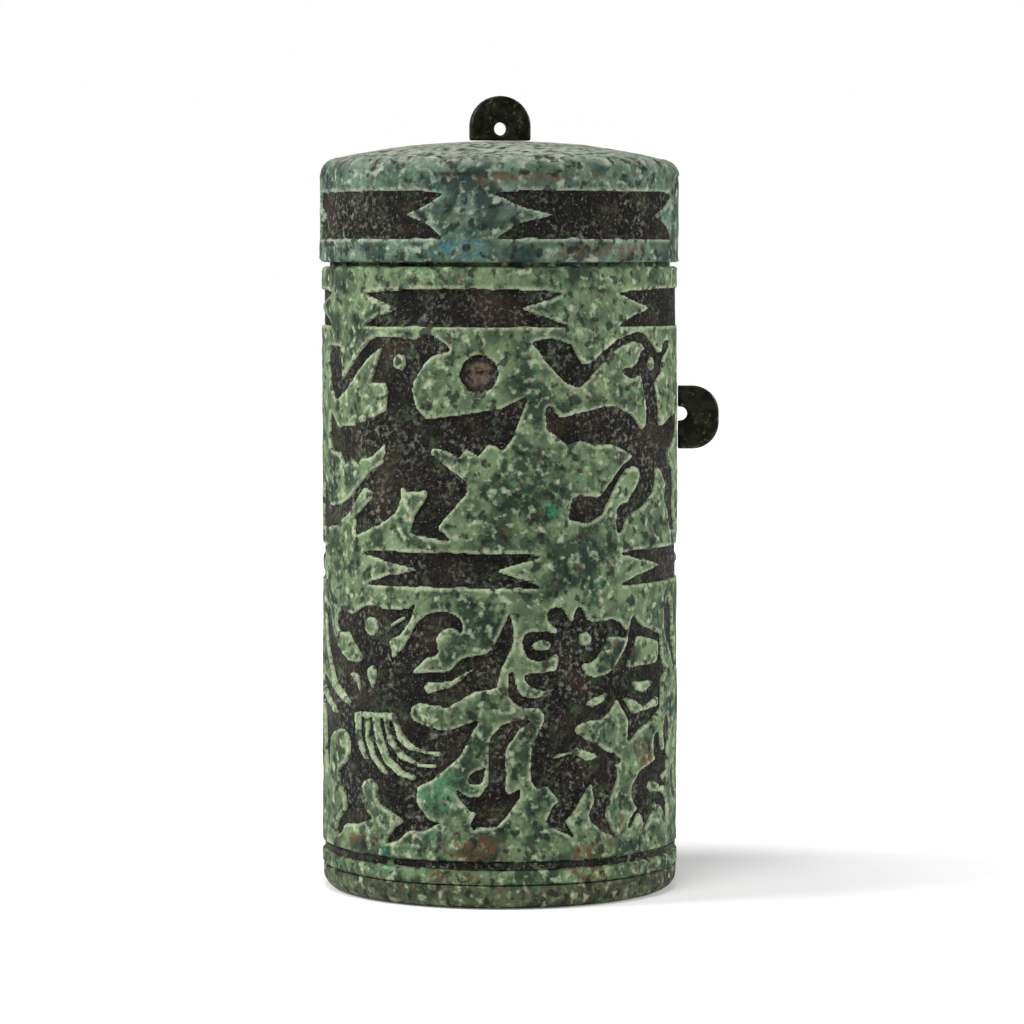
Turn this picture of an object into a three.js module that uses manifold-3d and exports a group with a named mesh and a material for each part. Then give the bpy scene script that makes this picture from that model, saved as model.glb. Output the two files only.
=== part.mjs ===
// Cylindrical lidded box of cast bronze with a paste-inlaid figure frieze.
// Millimetres, +Z up, origin at the centre of the flat foot, front towards -Y.
import * as THREE from 'three';
import { mergeVertices } from 'three/addons/utils/BufferGeometryUtils.js';
import Module from 'manifold-3d';

const wasm = await Module();
wasm.setup();

// Driving dimensions
const BODY_RADIUS = 44.25;
const WALL = 3.4;
const SHOULDER_Z = 155; // top of the body's outer wall, where the lid's rim comes down
const LIP_HEIGHT = 7; // inner lip that the lid slides over
const LIP_THICKNESS = 1.5;
const EDGE_RADIUS = 1; // soft cast edges at the seam
const BASE_HEIGHT = 5.8; // cast-on bottom, seen as a hairline near the foot
const BASE_EDGE = 3.8;
const SPIGOT_HEIGHT = 1; // raised step that centres the body's wall
const GROOVE_Z = 9.4;
const GROOVE_HEIGHT = 2.5;
const GROOVE_DEPTH = 1.1;
const LID_OVERHANG = 0.45; // how far the lid stands proud of the body all round
const LID_RADIUS = BODY_RADIUS + LID_OVERHANG;
const LID_SEAM = 1; // open line between body and lid
const LID_WALL = 3.5;
const LID_SHOULDER_Z = 177.5;
const LID_SHOULDER_RADIUS = 4.2;
const LID_TOP_Z = 186;
const LID_ROOF = 3.4;
const RECESS = 1.1; // depth of the cast cells that hold the paste
const PASTE = 0.6; // thickness of the paste left in them
const PASTE_FIT = 0.15; // gap between paste and bronze
const FIGURE_SKIN = 0.3; // the figures' paste, laid flush over the wall's true cylinder
const FIGURE_FIT = 0.05;
const FIT = 0.2; // gap between cast pieces
const SEAT = 0.3; // gap from lip top to the lid's ledge
const OUTLINE_TOLERANCE = 0.4; // a point that moves an outline by less is left out

// Two ears for a cord that ties the lid on
const EAR_THICKNESS = 3.5;
const EAR_BEVEL = 0.5;
const SIDE_EAR_Z = 109.5;
const SIDE_EAR_HEIGHT = 15.75;
const SIDE_EAR_REACH = 10.2;
const SIDE_EAR_HOLE = 1.75;
const SIDE_EAR_HOLE_Z = 118.25;
const TOP_EAR_WIDTH = 15.2;
const TOP_EAR_HEIGHT = 11.1;
const TOP_EAR_HOLE = 1.65;
const TOP_EAR_HOLE_RISE = 2.9;
const TOP_EAR_TURN = THREE.MathUtils.degToRad(10);

// The frieze repeats after half a turn, the plain bars after a quarter
const FACETS = 36;
const STEP = (2 * Math.PI) / FACETS;
const TURN = 2 * Math.PI * BODY_RADIUS;
const HALF = TURN / 2;
const QUARTER = TURN / 4;

const bronze = new THREE.MeshStandardMaterial({
  color: 0x6f8a66, roughness: 0.8, metalness: 0.35,
});
const darkBronze = new THREE.MeshStandardMaterial({
  color: 0x3b3c31, roughness: 0.5, metalness: 0.6,
});
const paste = new THREE.MeshStandardMaterial({
  color: 0x2b2826, roughness: 0.85, metalness: 0,
});

// Helpers
function weld(geometry) {
  geometry.deleteAttribute('normal');
  geometry.deleteAttribute('uv');
  const merged = mergeVertices(geometry, 1e-4);
  const index = [];
  for (let i = 0; i < merged.index.count; i += 3) {
    const [a, b, c] = [0, 1, 2].map((n) => merged.index.getX(i + n));
    if (a !== b && b !== c && c !== a) index.push(a, b, c);
  }
  merged.setIndex(index);
  return merged;
}

function toManifold(geometry) {
  return new wasm.Manifold(new wasm.Mesh({
    numProp: 3,
    vertProperties: new Float32Array(geometry.attributes.position.array),
    triVerts: new Uint32Array(geometry.index.array),
  }));
}

function fromManifold(body) {
  const { vertProperties, triVerts } = body.getMesh();
  const geometry = new THREE.BufferGeometry();
  geometry.setAttribute('position', new THREE.BufferAttribute(vertProperties, 3));
  geometry.setIndex(new THREE.BufferAttribute(triVerts, 1));
  return geometry;
}

function add(name, geometry, material) {
  const shown = geometry.index ? geometry.toNonIndexed() : geometry;
  shown.computeVertexNormals();
  const mesh = new THREE.Mesh(shown, material.clone());
  mesh.name = name;
  group.add(mesh);
}

// A body turned about Z from [radius, height] pairs, which end on the axis or close
function turned(profile) {
  const lathe = new THREE.LatheGeometry(
    profile.map(([r, z]) => new THREE.Vector2(r, z)), FACETS);
  lathe.rotateX(Math.PI / 2);
  const body = toManifold(weld(lathe));
  if (body.volume() > 0) return body;
  return turned([...profile].reverse());
}

// Points on a quarter round between two angles, in degrees
function round(r, z, radius, from, to, count = 4) {
  return Array.from({ length: count + 1 }, (_, i) => {
    const angle = THREE.MathUtils.degToRad(from + ((to - from) * i) / count);
    return [r + radius * Math.cos(angle), z + radius * Math.sin(angle)];
  });
}

// Leaves out the points that an outline doesn't need, and runs it anticlockwise
function thin(points) {
  const kept = points.map(([u, z]) => new THREE.Vector2(u, z));
  const segment = new THREE.Line3();
  const near = new THREE.Vector3();
  for (;;) {
    let least = OUTLINE_TOLERANCE;
    let at = -1;
    kept.forEach((p, i) => {
      const a = kept.at(i - 1);
      const b = kept[(i + 1) % kept.length];
      segment.start.set(a.x, a.y, 0);
      segment.end.set(b.x, b.y, 0);
      const q = near.set(p.x, p.y, 0).clone();
      segment.closestPointToPoint(q, true, near);
      const off = near.distanceTo(q);
      if (off < least) [least, at] = [off, i];
    });
    if (at < 0) break;
    kept.splice(at, 1);
  }
  return THREE.ShapeUtils.isClockWise(kept) ? kept.reverse() : kept;
}

// Moves an outline towards its left side: inwards, and outwards for a hole
function inset(points, by) {
  return points.map((p, i) => {
    const a = points.at(i - 1);
    const b = points[(i + 1) % points.length];
    const n1 = new THREE.Vector2(a.y - p.y, p.x - a.x).normalize();
    const n2 = new THREE.Vector2(p.y - b.y, b.x - p.x).normalize();
    const way = n1.clone().add(n2);
    const reach = way.length() > 0.7 ? (2 * by) / way.lengthSq() : 2 * by;
    return p.clone().addScaledVector(way, reach);
  });
}

// Bends a flat outline round the wall: a plate between two radii with the same facets
function wrapped(outline, holes, inner, outer) {
  const pitch = STEP * BODY_RADIUS;
  const all = [outline, ...holes].flat();
  const flat = [];
  const keys = new Map();
  const vertex = (p) => {
    const key = `${Math.round(p.x * 1e5)},${Math.round(p.y * 1e5)}`;
    if (!keys.has(key)) {
      keys.set(key, flat.length);
      flat.push(p);
    }
    return keys.get(key);
  };
  const cross = (a, b, u) => {
    const [p, q] = a.x < b.x ? [a, b] : [b, a];
    return new THREE.Vector2(u, p.y + ((q.y - p.y) * (u - p.x)) / (q.x - p.x));
  };
  const clip = (poly, u, side) => poly.flatMap((p, i) => {
    const q = poly[(i + 1) % poly.length];
    const [dp, dq] = [(p.x - u) * side, (q.x - u) * side];
    const out = dp >= 0 ? [p] : [];
    if (dp * dq < 0) out.push(cross(p, q, u));
    return out;
  });
  const faces = [];
  for (const face of THREE.ShapeUtils.triangulateShape(outline, holes)) {
    let tri = face.map((n) => all[n]);
    if (THREE.ShapeUtils.area(tri) < 0) tri = tri.reverse();
    const us = tri.map((p) => p.x / pitch);
    for (let k = Math.floor(Math.min(...us)); k < Math.max(...us); k++) {
      const cell = clip(clip(tri, k * pitch, 1), (k + 1) * pitch, -1).map(vertex);
      const ring = cell.filter((n, i) => n !== cell.at(i - 1));
      for (let i = 1; i + 1 < ring.length; i++) faces.push([ring[0], ring[i], ring[i + 1]]);
    }
  }
  const edges = new Set(faces.flatMap(([a, b, c]) => [`${a},${b}`, `${b},${c}`, `${c},${a}`]));
  const place = (p, r) => {
    const k = Math.floor(p.x / pitch + 1e-6);
    const t = p.x / pitch - k;
    const [a, b] = [k * STEP, (k + 1) * STEP];
    const x = Math.sin(a) * (1 - t) + Math.sin(b) * t;
    const y = -Math.cos(a) * (1 - t) - Math.cos(b) * t;
    return [x * r, y * r, p.y];
  };
  const count = flat.length;
  const index = faces.flatMap(([a, b, c]) => [a, b, c, a + count, c + count, b + count]);
  for (const edge of edges) {
    const [a, b] = edge.split(',').map(Number);
    if (!edges.has(`${b},${a}`)) index.push(b, a, a + count, b, a + count, b + count);
  }
  const geometry = new THREE.BufferGeometry();
  geometry.setAttribute('position', new THREE.Float32BufferAttribute(
    [...flat.flatMap((p) => place(p, outer)), ...flat.flatMap((p) => place(p, inner))], 3));
  geometry.setIndex(index);
  return geometry;
}

// A round or oval island
function oval(u, z, ru, rz = ru, count = 10) {
  return Array.from({ length: count }, (_, i) => {
    const angle = (2 * Math.PI * i) / count;
    return [u + ru * Math.cos(angle), z + rz * Math.sin(angle)];
  });
}

// A bar with a V notch in each end, the filling of the plain bands
function bar({ left, right, top, bottom, notchLeft, notchRight, sag = 0 }) {
  const middle = (top + bottom) / 2;
  const length = right - left;
  return [
    [left, top - 0.8], [left + 0.12 * length, top], [left + 0.5 * length, top + sag],
    [right - 0.1 * length, top], [right, top - 0.8], [right - 0.55 * notchRight, middle + 1.6],
    [right - notchRight, middle], [right - 0.45 * notchRight, middle - 1.9], [right, bottom],
    [left + 0.6 * length, bottom + 0.3], [left, bottom], [left + 0.45 * notchLeft, middle - 1.8],
    [left + notchLeft, middle], [left + 0.5 * notchLeft, middle + 1.4],
  ];
}

// Outlines as [along the wall, height], read from the front half
const BARS = {
  lid_inlay: {
    start: -69.5, shape: bar({ left: -1.5, right: 56, top: 173.2, bottom: 161.6,
      notchLeft: 15.5, notchRight: 10.5 }),
  },
  upper_band_inlay: {
    start: 0, shape: bar({ left: -38.5, right: 17.3, top: 149.4, bottom: 140.5,
      notchLeft: 12.5, notchRight: 12.3, sag: 0.5 }),
  },
  middle_band_inlay: {
    start: 0, shape: bar({ left: -38.3, right: 11.3, top: 86.3, bottom: 77.7,
      notchLeft: 17.8, notchRight: 12.3 }),
  },
};

const FIGURES = {
  winged_runner_inlay: {
    // strides to the right, wings spread, square crest behind the head
    outline: [
      [-12, 134.6], [-12.5, 136], [-14.5, 137.5], [-16.5, 138.6], [-18.5, 138.8], [-20, 138.1],
      [-21.5, 137.3], [-23.5, 137.3], [-26, 138.1], [-30, 138.3], [-33, 138], [-36, 136.8],
      [-38.5, 135], [-41, 132.5], [-43.5, 130], [-45.5, 128.3], [-46.8, 127.4], [-47, 130],
      [-47.5, 135.4], [-56.5, 135.5], [-57, 133.5], [-56.3, 130], [-55, 126], [-53, 123.5],
      [-51.5, 122.5], [-49.5, 122.5], [-47, 123.5], [-44.5, 125], [-41.5, 127.5], [-39, 130],
      [-36.5, 132.5], [-34, 134.3], [-31, 135.7], [-32, 133.8], [-33, 131], [-34, 128.8],
      [-35.3, 126.6], [-33, 126.7], [-30.5, 127], [-29.5, 125], [-29.3, 122], [-29.8, 120],
      [-32, 119], [-36, 117.8], [-42, 116.2], [-47, 115.5], [-49.5, 115.7], [-51.5, 117],
      [-53, 118.7], [-54, 119.3], [-55.3, 118.8], [-55.8, 113.5], [-55, 111.5], [-53.5, 110],
      [-51, 109.3], [-48.8, 109.5], [-47.5, 108], [-46, 106.3], [-44.5, 106.8], [-42.5, 108.3],
      [-41.5, 107.8], [-40, 106.6], [-38.5, 108.5], [-36.5, 108.4], [-34, 109.2],
      [-33, 110.5], [-31.5, 111.8], [-30.2, 112.5], [-30, 110], [-31, 107.5], [-33, 106],
      [-36, 104.8], [-38.5, 103], [-41, 100.5], [-44, 98.5], [-48, 96.8], [-52, 96],
      [-54.5, 96], [-56.5, 97.5], [-58, 99.8], [-59, 100.6], [-65, 101], [-66, 90.5],
      [-60, 90.2], [-55, 90.7], [-50, 91.8], [-47, 93], [-44, 94.8], [-41.5, 97],
      [-39.5, 99.5], [-37.5, 101.5], [-34, 100.5], [-34.5, 99], [-36, 97.5], [-38.5, 96],
      [-40.5, 94.5], [-41, 92.5], [-41.5, 90.5], [-41.2, 89.3], [-39.5, 89.6], [-37.5, 90.5],
      [-35, 91.8], [-32, 92.6], [-29.5, 93.8], [-27, 95.5], [-25.7, 97.5], [-25.3, 100],
      [-25.2, 102], [-23, 100.6], [-21, 100.5], [-18.2, 101], [-18.5, 99.5], [-20, 97.5],
      [-21.5, 95], [-22.3, 93], [-22.6, 91.2], [-21.5, 90.3], [-18, 89.8], [-15, 89.5],
      [-12.5, 89], [-12, 89.6], [-12.5, 90.5], [-14, 91.5], [-15.3, 92.3], [-14, 94],
      [-12, 96.3], [-10, 98.5], [-8.3, 100.3], [-7.8, 101.8], [-8.3, 103.5], [-9.5, 104.8],
      [-12, 106.5], [-14.5, 108.3], [-16.5, 109.3], [-17.3, 110.2], [-16.5, 111.5],
      [-14.5, 111.3], [-12.5, 110.7], [-11, 109.8], [-10, 109.2], [-8, 111.3], [-7, 111],
      [-5.8, 109.8], [-5, 109.5], [-3.8, 110.5], [-2.8, 112.3], [-1, 112], [0.7, 110.8],
      [3, 113.5], [4.5, 116.5], [5.5, 120], [7, 124], [5, 123], [3, 121.8], [0, 120.8],
      [-5, 120.2], [-10, 119.5], [-15, 118.6], [-18, 118.3], [-19.5, 119.3], [-21, 121],
      [-22, 123], [-22.3, 125.3], [-21.7, 127.3], [-20.5, 128.9], [-19.6, 130], [-19, 131.5],
      [-18, 132.5], [-16.5, 133.7], [-14.5, 134],
    ],
    islands: [oval(-25.6, 132, 2)],
  },
  disc_inlay: { outline: oval(-5, 129.3, 4.7, 4.7, 20), islands: [] },
  winged_walker_inlay: {
    // faces left, axe-shaped crest, one wing on each side
    outline: [
      [8, 137.3], [10, 137.5], [13, 137.8], [16, 137.2], [18, 136.2], [19, 134.5],
      [19.8, 132.5], [20.8, 131.4], [22.5, 131.5], [24, 132.3], [26, 133.8], [28.5, 135.6],
      [31, 137.3], [34, 138.2], [37, 138.8], [40, 138.9], [42, 138.2], [44, 136.8], [46, 135],
      [47.5, 134.2], [49, 134], [51, 136.5], [53.5, 137], [56, 135.8], [53, 134.3],
      [50.5, 132.5], [49.5, 130.5], [49.3, 128.6], [47, 127.3], [45.8, 126.5], [47, 124.5],
      [48, 122.5], [48.5, 120], [48.3, 117.5], [48.5, 116.2], [50.5, 116], [53, 117],
      [56, 117.9], [59, 118], [62, 118.6], [64, 120.2], [65.3, 121.2], [66.2, 120.2],
      [66.4, 118], [66, 115.8], [64.5, 114.2], [62.5, 113], [60.5, 111.8], [56, 110.3],
      [53, 109], [56, 107], [58.5, 104.5], [60, 100.5], [58.5, 97], [60, 93], [63, 90.5],
      [63, 89.5], [58, 89.5], [55, 90.5], [54.5, 93], [53.5, 95.5], [51, 97.5], [51, 99.3],
      [52, 101.5], [50.5, 103.5], [48.5, 105.5], [46, 106.2], [46.8, 102.5], [45.5, 100],
      [43, 98], [40, 96.2], [37.5, 95.2], [35, 94.5], [33.6, 93], [33, 91], [31.8, 90.3],
      [31, 91.3], [30.6, 93.5], [30.8, 96], [32, 97.2], [34.5, 97.8], [36, 99], [37, 100.8],
      [38.5, 102.5], [39, 104.5], [38.5, 106], [36.5, 106.5], [34, 105.8], [32, 103.8],
      [30.5, 101.8], [29, 99.3], [27.8, 97], [26.5, 95], [24.5, 93.8], [22, 93.1],
      [19.5, 93.5], [17.5, 94], [17.2, 95], [17.6, 97.5], [18.3, 99.3], [20, 99.8],
      [23, 99.3], [25.5, 99.3], [27, 100.8], [29, 103], [31, 105.3], [33, 107], [35, 108],
      [37, 109], [35, 110.2], [32, 111], [30, 112], [27, 111.8], [24, 112], [22, 112.5],
      [20.5, 113.2], [18.5, 112.4], [16.8, 112.2], [15.5, 113], [13.5, 114.3], [11.6, 115.8],
      [11.2, 118], [11.2, 120.8], [12.3, 121.8], [13, 121.6], [14, 120], [15, 118.8],
      [19, 119.4], [24, 120.3], [28, 121.2], [31, 121.1], [34.5, 120], [37, 118.5],
      [39, 116.5], [40.7, 115], [41.8, 117], [42, 121], [41.5, 124], [40.3, 127],
      [39.8, 128.8], [36, 127.7], [34, 129], [31.8, 130.1], [36, 130.4], [38, 131.5],
      [39.8, 134.3], [42, 134.9], [40, 136.6], [37, 137], [33, 136], [30, 134.5],
      [27, 131.5], [24.5, 129.8], [22, 127.8], [20.5, 126.2], [18.5, 126.2], [16, 127.5],
      [13.5, 130], [11, 132.5], [9.5, 135], [7.5, 136.8],
    ],
    islands: [oval(44.3, 131.3, 1.7)],
  },
  skirted_bird_inlay: {
    // frontal body in a pleated skirt, head turned right, feathered wings
    outline: [
      [-21.2, 74], [-21.6, 72], [-22.5, 69.8], [-23.5, 68.3], [-25.5, 66], [-27, 65.2],
      [-29, 64.8], [-28.8, 63], [-28, 59.8], [-26.5, 61], [-24.5, 63.3], [-23, 66.2],
      [-21, 69.2], [-18.5, 71.2], [-15.5, 72.1], [-12.5, 71.9], [-10, 70.8], [-8.8, 68.8],
      [-9.3, 66.6], [-10.5, 67.8], [-12.5, 68.3], [-14.5, 67.3], [-15.8, 65.5], [-15.5, 63.5],
      [-15, 62], [-16.5, 61], [-18.5, 60.8], [-20.5, 59.3], [-22.5, 56.7], [-20.5, 57.3],
      [-17, 57.2], [-14, 57.3], [-12, 58], [-10.5, 59.7], [-9, 61], [-6, 61.3], [-3.5, 62],
      [-1.5, 63.5], [-0.5, 65.5], [0.3, 68], [1.3, 70.3], [2.5, 72.3], [3, 70.5], [3.8, 67],
      [3.2, 63.5], [2, 61], [0.5, 58.8], [-0.5, 56], [-0.8, 53.8], [-3, 53.5], [-5.5, 53],
      [-8, 51.5], [-10.5, 50], [-13, 49], [-15.5, 48.9], [-18, 49.3], [-20.5, 49.8],
      [-22.5, 49], [-22.8, 47], [-22, 45.5], [-19.5, 44.3], [-16, 43.3], [-12.5, 43.3],
      [-10, 44], [-7.5, 44.8], [-5, 46], [-6, 43.5], [-7.5, 40.5], [-9.5, 37.5], [-12, 35],
      [-14.5, 33], [-17, 31], [-19.5, 29.8], [-21, 29.3], [-20.8, 25.5], [-19.5, 23],
      [-18, 21.5], [-14, 21], [-19.5, 18.5], [-22, 18.8], [-24, 18], [-26, 16], [-28, 15],
      [-29.5, 14.8], [-30, 15.5], [-29, 17.5], [-27.5, 19], [-24.5, 20.7], [-27, 22],
      [-30, 23], [-32.5, 24.5], [-33.5, 26.5], [-33, 28.5], [-34.5, 30.5], [-37, 29.8],
      [-38.8, 28.2], [-37.8, 27], [-37, 25], [-37.3, 23], [-34, 20.5], [-36.5, 19.8],
      [-40, 18.8], [-43.5, 18.6], [-46, 18], [-47.5, 16], [-50.3, 15], [-51.3, 16],
      [-50.8, 17.8], [-49.5, 19.3], [-47.5, 20.3], [-45.7, 21.5], [-45.4, 23], [-46.3, 25],
      [-48, 26.8], [-49.3, 28.5], [-49.7, 30], [-49, 31.8], [-47, 32.5], [-45.2, 33.8],
      [-44, 35.5], [-43.7, 38], [-44.3, 40], [-45.5, 41], [-48, 41.5], [-50.5, 41.2],
      [-52.5, 40.5], [-54.7, 38.5], [-55.3, 35], [-55.6, 31], [-57, 28.5], [-59.5, 32],
      [-60.3, 36], [-61, 40], [-62, 43.5], [-64.5, 46], [-66, 49.3], [-64, 49.5],
      [-60, 47.8], [-56, 46], [-53, 45], [-49.8, 45], [-53, 46.6], [-56, 48.1], [-60, 49.9],
      [-63, 51.6], [-65.5, 54], [-65, 56], [-62, 54.6], [-58, 53.1], [-54, 51.5],
      [-50, 49.5], [-46, 48], [-42.8, 48.2], [-46, 49.9], [-49, 51.4], [-52, 53.2],
      [-54, 55.5], [-56, 58.5], [-58, 61], [-59.5, 64], [-60, 68], [-58.8, 71],
      [-56.3, 71.3], [-54.6, 69], [-53.6, 66], [-52, 63.5], [-50, 61.5], [-47, 59.6],
      [-44, 58.4], [-41, 58.3], [-38.8, 59], [-38.3, 60.3], [-39.5, 61.5], [-41.5, 63],
      [-43, 64], [-44, 65.5], [-48.5, 65.2], [-50, 65.8], [-51, 67.5], [-50.3, 69.8],
      [-48, 70.8], [-45, 70.8], [-43, 70], [-40, 71.5], [-37, 72.7], [-33, 72.8], [-30, 72],
      [-25, 72], [-23.3, 72.4],
    ],
    islands: [
      oval(-35, 67.6, 2.4),
      [[-29, 67.5], [-28, 69], [-24.5, 70.6], [-24, 70], [-27, 68.2]],
      [[-36.3, 56.3], [-35.5, 57.8], [-34, 58], [-33.1, 56.8], [-33.3, 54.5], [-34.3, 51.8],
        [-35.5, 53.5]],
      [[-44, 55.6], [-39.8, 55.5], [-39, 52.5], [-39.5, 50.8], [-40.8, 53.5]],
      [[-19, 53.5], [-18, 54.8], [-12, 55.3], [-9, 57], [-6, 59], [-3.5, 60.3], [-7, 57.8],
        [-9.5, 55.3], [-12, 53.6], [-15, 52.6], [-18, 52.2]],
      // pleats of the skirt, hanging from a belt
      [[-41.5, 46.3], [-27, 46.8], [-25.2, 42], [-22, 39.3], [-17.5, 38], [-14, 37.8],
        [-14, 36.9], [-18, 37], [-23, 38], [-26.3, 40.5], [-28.4, 45.2], [-29.7, 45.2],
        [-28, 40.5], [-25, 37.2], [-20.5, 35.2], [-15.5, 34.8], [-15.5, 34], [-20.7, 34],
        [-25.7, 35.8], [-29.3, 39.5], [-31.1, 45.2], [-32.3, 45.2], [-31.3, 41],
        [-28.8, 36], [-25, 33], [-21.3, 32], [-21.5, 31], [-26, 31.6], [-30.5, 34.5],
        [-33.3, 39], [-34.6, 45.2], [-35.9, 45.2], [-35.5, 40.5], [-33.3, 36],
        [-30, 32.7], [-29, 31.6], [-31.5, 32], [-35, 35.5], [-37.2, 40], [-37.5, 45.2],
        [-39.2, 45.2], [-38.8, 40.5], [-37.5, 37], [-36, 35], [-37.5, 34.8],
        [-39.4, 37], [-40.8, 41], [-41.3, 45]],
    ],
  },
  beast_inlay: {
    // standing beast with two ears and a hooked snout, holding a framed wing
    outline: [
      [11.5, 71.5], [12.3, 72.8], [14, 73.2], [15.8, 72.6], [17, 71], [18.2, 68.8],
      [18.6, 69.5], [18.9, 72], [19.8, 73.3], [20.8, 73], [21.7, 71.5], [22.3, 69.8],
      [24, 69.2], [27, 69.6], [30, 69.6], [32.5, 68.8], [34, 67], [34.5, 65], [33.5, 65.2],
      [31, 65.7], [29, 65.6], [27.3, 64], [26, 61.8], [25, 60.3], [23, 59.2], [21, 59.2],
      [20.7, 58], [22, 56.4], [24.5, 55.6], [28, 56.2], [30.5, 57.8], [33, 60.5],
      [34.8, 63.5], [35.5, 66], [35.8, 69], [36.8, 70.3], [38.3, 68.8], [40.5, 67.2],
      [44, 66], [47.5, 65.5], [49, 65], [49.7, 63], [49.8, 58], [51.5, 57.2], [53.8, 55.6],
      [51.5, 54.4], [49.9, 53.5], [49.9, 46.5], [47.5, 45.2], [43.5, 43.3], [39.5, 42.2],
      [37.5, 41], [36, 39.6], [34.8, 39.8], [35, 42], [34.9, 45], [33.5, 47.5], [31.2, 50.4],
      [30, 49], [28.8, 47], [26.5, 45.4], [24, 44.9], [21, 45], [19.2, 44.2], [18.8, 43.2],
      [19.5, 42], [21.5, 40.8], [24, 40], [26, 38.9], [28.5, 37.3], [30.5, 36], [32.9, 35.2],
      [32, 34.2], [30.5, 34.4], [31.2, 33], [31.6, 31], [30.8, 29.2], [29.6, 26.8],
      [28.2, 24.3], [27.7, 22], [28.8, 19.6], [30.6, 16.6], [27.5, 17.6], [25, 19.3],
      [23.3, 20.8], [22.8, 22.5], [23.6, 24.2], [24.4, 26], [24.3, 28], [23.5, 30.3],
      [22.5, 28.3], [21, 26.5], [19.5, 24.5], [17.5, 22.8], [16.3, 21], [18, 19.2],
      [19.4, 16.7], [17, 17.8], [14.5, 19.3], [12.5, 20.2], [11.5, 21.5], [11.8, 23],
      [13, 24.8], [14.8, 26], [13.2, 28.6], [11.7, 30.2], [9.3, 29.3], [8, 31], [7.5, 34],
      [7.7, 37], [8.2, 40], [8.9, 42], [10, 44], [11, 46], [10.9, 47.4], [9.9, 48.6],
      [8, 48.9], [5.5, 49.1], [3.5, 50.2], [2.3, 52.3], [2, 55], [2.4, 57.5], [3.3, 57.8],
      [3.8, 56], [4.2, 53.5], [5.3, 51.8], [8, 51.2], [11.5, 51.5], [12, 52.6], [10.5, 53.2],
      [8, 54], [6.5, 55.3], [6, 57], [8, 57.4], [12, 57.6], [14.3, 57.9], [14.6, 60],
      [14.3, 62], [13, 61.4], [11.5, 60.5], [9, 60.2], [7, 61], [5.8, 63], [5.5, 65],
      [6.3, 66.8], [8, 67.6], [11, 67.3], [14, 66.8], [14.2, 67.6], [12.6, 69], [11.8, 70.2],
    ],
    islands: [
      oval(21.7, 65.2, 1.9),
      oval(10.3, 64, 2.6, 1.4, 8),
      [[12.3, 36.3], [15, 36.9], [18, 37.3], [20.5, 36.6], [22, 35.4], [25.5, 36.1],
        [25.2, 37], [22.5, 38.2], [19.5, 38.9], [17, 38.4], [14.5, 37.6]],
      [[21.7, 49], [24, 48.6], [26.5, 49.5], [28.8, 51.6], [28.2, 52], [26, 51],
        [24, 50.3], [22, 49.8]],
      [[38.6, 65.3], [36.8, 62], [34, 57.4], [38, 57.2], [43, 57.7], [47, 57.8],
        [47.7, 60], [47.6, 63.2], [44, 63.8], [40.5, 64.8]],
      [[36.2, 53.9], [40, 54], [45, 53.7], [43.5, 52], [41, 51.2], [38.5, 51.7]],
      [[33.2, 50.4], [35, 48], [36.7, 46], [41, 46.5], [46, 47], [47.8, 47.2],
        [47.6, 49.6], [45.5, 49.2], [43, 48.2], [41, 47.4], [39, 48.6], [37, 49.6]],
    ],
  },
  plume_inlay: {
    outline: [
      [8, 45.8], [6, 46.2], [3, 45.7], [0, 44.3], [-1.8, 42.3], [-2.5, 40], [-2.5, 37],
      [-2.2, 33], [-2.5, 30.5], [-3.5, 28.8], [-5, 27.5], [-7.5, 27], [-9, 27.8],
      [-10.8, 29.3], [-10.3, 27.5], [-9, 25.5], [-7.3, 24], [-5.5, 23.6], [-6.3, 22.5],
      [-7, 20.8], [-6.5, 19], [-5.5, 20], [-3, 20], [-0.5, 20.2], [1, 21.8], [2, 23.8],
      [3.5, 25.5], [5, 27], [5.2, 29.5], [4.2, 28.6], [2, 28], [1.2, 29.5], [1.6, 31],
      [1.5, 34], [1.2, 37], [1.7, 39.5], [2.8, 41.5], [4.5, 43.7], [6.5, 44.8],
    ],
    islands: [],
  },
  drop_inlay: {
    outline: [
      [-7.6, 31.5], [-6.8, 33], [-5, 34.3], [-3.3, 34.8], [-3.5, 32.5], [-4.3, 30.7],
      [-6, 30.2], [-7.4, 30.5],
    ],
    islands: [],
  },
  seated_animal_inlay: {
    outline: [
      [48.5, 41.2], [49.6, 39.5], [49.8, 37.2], [51, 35.8], [52, 36.2], [51.2, 38],
      [50.9, 41], [51.8, 43.8], [53.3, 44.8], [55, 44], [56, 41.5], [56, 38.5], [54.3, 37],
      [53.8, 34], [53.8, 30.6], [51.5, 30.2], [49.8, 29.6], [51.3, 28], [53.5, 26.8],
      [49.5, 26.9], [46.8, 28], [45.3, 29], [43.6, 28.8], [42.9, 27.6], [43.9, 26.4],
      [46.5, 25.9], [50, 25.6], [52.5, 24.3], [53.9, 22], [53.9, 19.5], [53.1, 18],
      [52, 19.2], [50.8, 21.3], [48.8, 22.6], [46, 22.9], [45, 21.8], [44.3, 19.8],
      [42.5, 18], [41.3, 16.8], [40.8, 18.5], [40.5, 20.8], [38.8, 21.4], [37.5, 20],
      [35.8, 17.8], [34.8, 18.6], [35.5, 20.3], [37.3, 21.8], [38.8, 22.9], [37, 24.2],
      [36, 26], [36.3, 28.4], [37.6, 30.2], [39.5, 31.8], [42.5, 33], [46.3, 34.2],
      [45.4, 36], [45.4, 38.4], [46.3, 40.3], [47.4, 41],
    ],
    islands: [],
  },
  upper_scroll_inlay: {
    outline: [
      [53, 73], [51.3, 71], [50.8, 67.5], [52, 64.5], [54, 62], [56, 59], [58, 57],
      [61, 55.5], [65, 54.5], [69, 54.3], [69, 55.8], [65, 57], [61.5, 59], [59, 61.5],
      [58, 64], [58.3, 68], [57.5, 71.5], [55.5, 73.5],
    ],
    islands: [],
  },
  lower_scroll_inlay: {
    outline: [
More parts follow.
